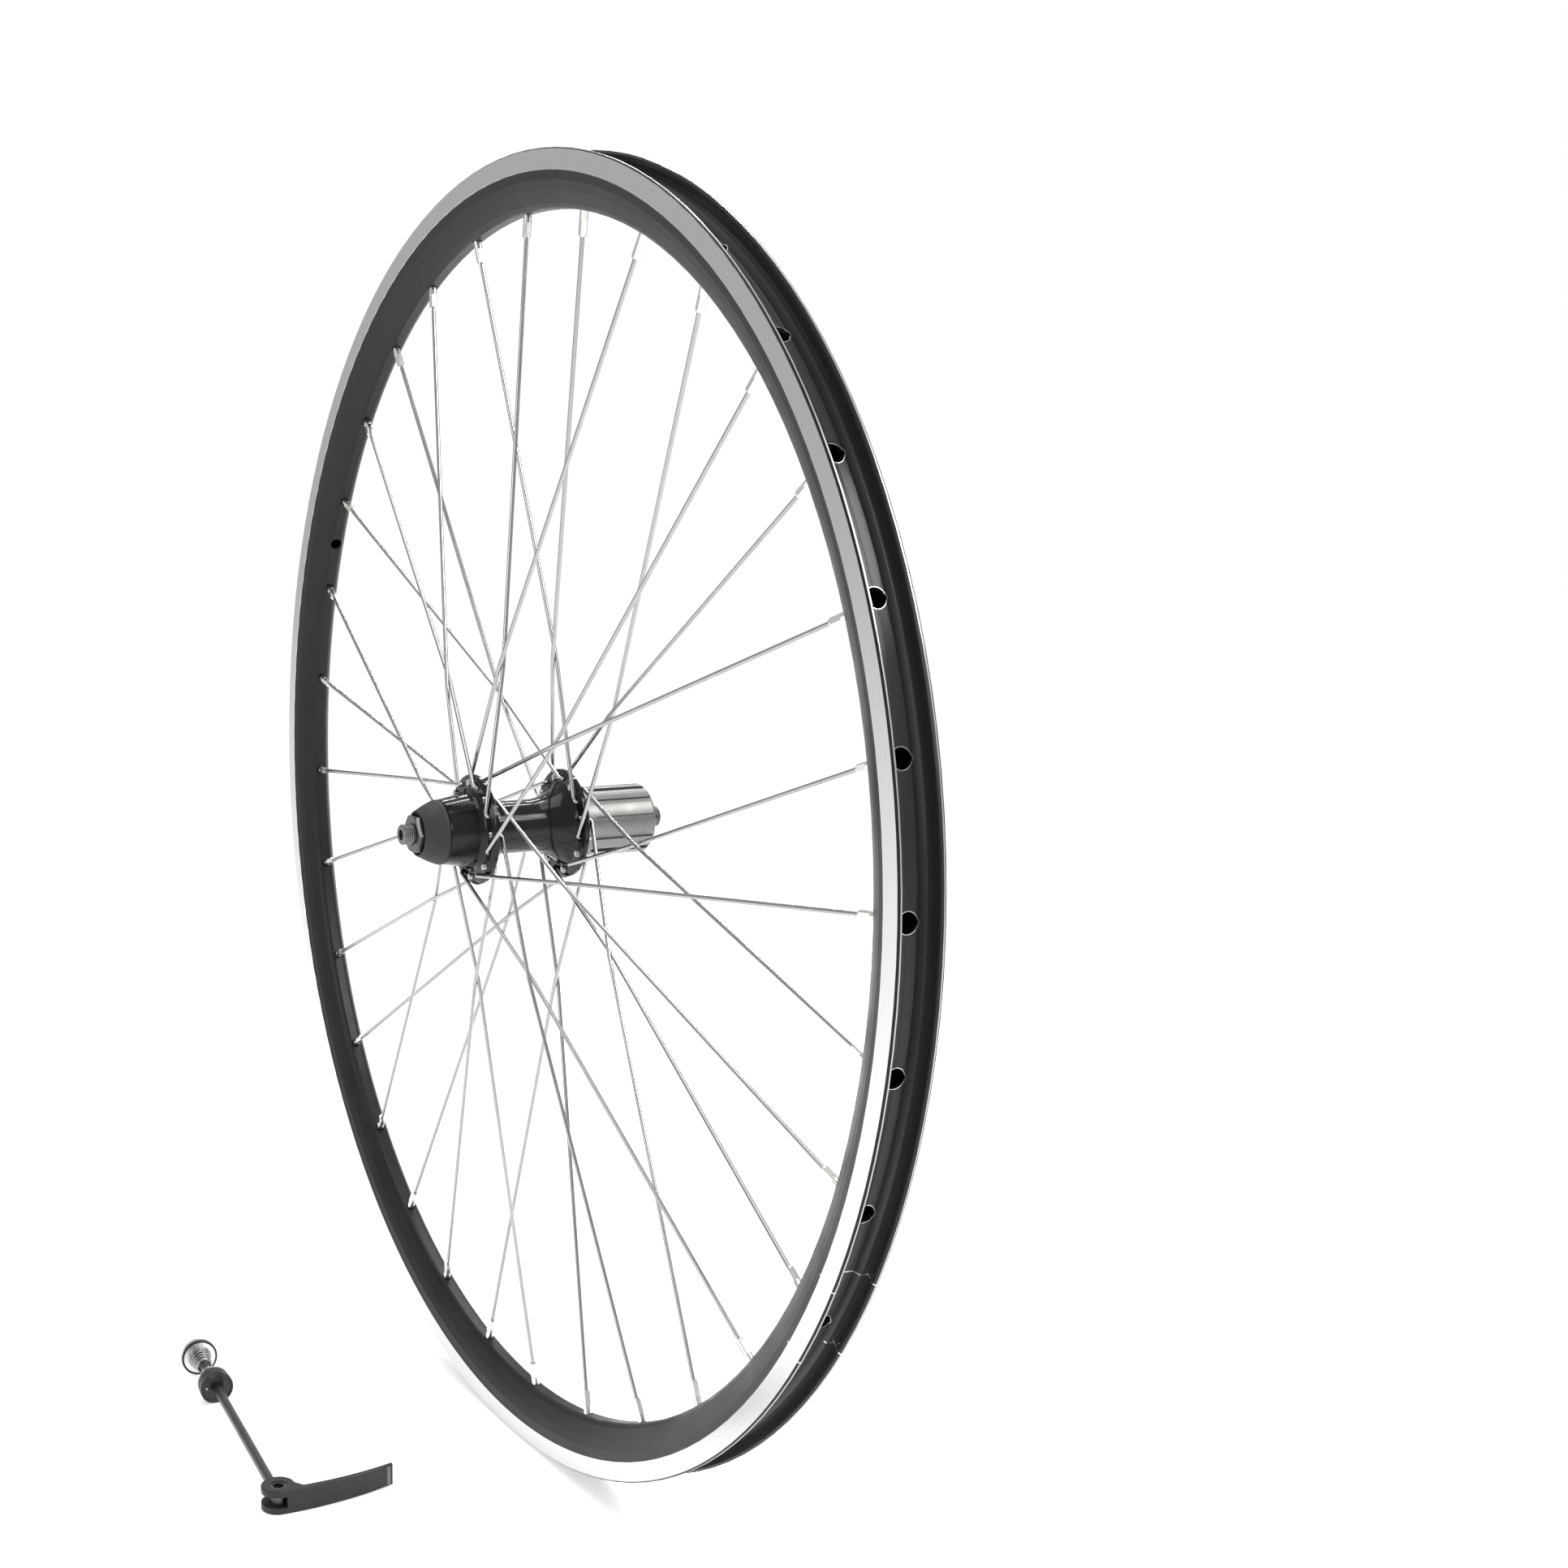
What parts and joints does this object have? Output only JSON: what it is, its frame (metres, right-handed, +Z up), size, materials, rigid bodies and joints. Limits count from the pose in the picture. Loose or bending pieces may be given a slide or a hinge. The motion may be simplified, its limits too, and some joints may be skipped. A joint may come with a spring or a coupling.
{
  "type": "bicycle rear wheel with quick-release skewer",
  "caption": "Rear road-bicycle wheel with spoked box-section clincher rim, freehub and hollow axle, and its separate quick-release skewer lying beside it.",
  "frame": {"origin": "middle of the hollow axle, in the rim's centre plane", "axes": "+Y along the axle to the drive side, +Z up, -X the way the bicycle goes"},
  "size_m": [0.634, 0.2274, 0.634],
  "materials": {
    "rim_anodised": "satin",
    "steel_dark": "satin",
    "spoke_stainless": "satin",
    "nipple_brass": "satin",
    "hub_black": "gloss",
    "rubber_black": "matte",
    "bearing_steel": "gloss",
    "freehub_steel": "satin",
    "sleeve_alloy": "satin",
    "skewer_black": "satin",
    "rod_steel": "satin",
    "spring_steel": "satin",
    "bright_steel": "gloss",
    "nylon": "matte",
    "strip_light": "satin"
  },
  "bodies": {
    "axle_set": {"axle": "steel_dark", "left_cone": "bearing_steel", "left_spacer": "steel_dark", "left_locknut": "steel_dark", "rubber_boot": "rubber_black", "right_cone": "bearing_steel", "keyed_washer": "steel_dark", "right_locknut": "steel_dark"},
    "wheel": {"rim": "rim_anodised", "rim_joint_sleeve": "sleeve_alloy", "nipples_left": "nipple_brass", "nipples_right": "nipple_brass", "spokes_left_outboard": "spoke_stainless", "spokes_left_inboard": "spoke_stainless", "spokes_right_inboard": "spoke_stainless", "spokes_right_outboard": "spoke_stainless", "hub_shell": "hub_black", "left_bearing_cup": "bearing_steel", "left_dust_cap": "steel_dark", "right_bearing_cup": "bearing_steel", "freehub_core": "bearing_steel", "freehub_fixing_bolt": "steel_dark", "pawl_spring": "spring_steel"},
    "left_ball_set": {"left_bearing_balls": "bearing_steel"},
    "right_ball_set": {"right_bearing_balls": "bearing_steel"},
    "freehub": {"freehub_body": "freehub_steel", "freehub_dust_seal": "rubber_black"},
    "freehub_ball_set": {"freehub_balls": "bearing_steel"},
    "pawl_one": {"pawl_1": "bearing_steel"},
    "pawl_two": {"pawl_2": "bearing_steel"},
    "skewer": {"skewer_rod": "rod_steel", "cam_barrel": "steel_dark"},
    "lever": {"skewer_lever": "skewer_black", "lever_tip_strip": "strip_light"},
    "cap": {"thrust_cap": "skewer_black", "cap_spring": "spring_steel"},
    "nut_carrier": {"nut_spring": "spring_steel"},
    "nut": {"skewer_nut": "skewer_black", "nut_face_ring": "bright_steel", "nut_lock_insert": "nylon"}
  },
  "joints": [
    {"name": "wheel_spin", "type": "hinge", "parent": "axle_set", "child": "wheel", "pos_m": [0, 0, 0], "axis": [0, 1, 0], "continuous": true},
    {"name": "left_ball_orbit", "type": "hinge", "parent": "axle_set", "child": "left_ball_set", "pos_m": [0, -0.046, 0], "axis": [0, 1, 0], "continuous": true},
    {"name": "right_ball_orbit", "type": "hinge", "parent": "axle_set", "child": "right_ball_set", "pos_m": [0, 0.051, 0], "axis": [0, 1, 0], "continuous": true},
    {"name": "freehub_spin", "type": "hinge", "parent": "wheel", "child": "freehub", "pos_m": [0, 0.042, 0], "axis": [0, 1, 0], "continuous": true},
    {"name": "freehub_ball_orbit", "type": "hinge", "parent": "wheel", "child": "freehub_ball_set", "pos_m": [0, 0.0344, 0], "axis": [0, 1, 0], "continuous": true},
    {"name": "pawl_one_fold", "type": "hinge", "parent": "wheel", "child": "pawl_one", "pos_m": [0.00697, 0.0335, 0.00877], "axis": [0, 1, 0], "range_deg": [-5, 0], "stiffness_Nm_per_rad": 0.002, "springref_deg": 11.46},
    {"name": "pawl_two_fold", "type": "hinge", "parent": "wheel", "child": "pawl_two", "pos_m": [-0.00697, 0.0335, -0.00877], "axis": [0, 1, 0], "range_deg": [-5, 0], "stiffness_Nm_per_rad": 0.002, "springref_deg": 11.46},
    {"name": "skewer_lift", "type": "slide", "parent": "axle_set", "child": "skewer", "axis": [0, 0, 1], "range_m": [0, 0.15]},
    {"name": "lever_turn", "type": "hinge", "parent": "skewer", "child": "lever", "pos_m": [0.0265, -0.1488, -0.3108], "axis": [-0.0214, 0.002, -0.9998], "range_deg": [0, 180]},
    {"name": "cap_slide", "type": "slide", "parent": "skewer", "child": "cap", "axis": [0.9956, -0.0915, -0.0215], "range_m": [-0.005, 0.1213]},
    {"name": "nut_travel", "type": "slide", "parent": "skewer", "child": "nut_carrier", "axis": [0.9956, -0.0915, -0.0215], "range_m": [-0.0032, 0.0032]},
    {"name": "nut_turn", "type": "hinge", "parent": "nut_carrier", "child": "nut", "pos_m": [0.0265, -0.1488, -0.3108], "axis": [0.9956, -0.0915, -0.0215], "range_deg": [-1560, 1560]}
  ],
  "couplings": [
    {"joint": "left_ball_orbit", "follows": "wheel_spin", "ratio": 0.61},
    {"joint": "right_ball_orbit", "follows": "wheel_spin", "ratio": 0.617},
    {"joint": "freehub_ball_orbit", "follows": "freehub_spin", "ratio": 0.542},
    {"joint": "nut_turn", "follows": "nut_travel", "rad_per_m": 7854}
  ]
}
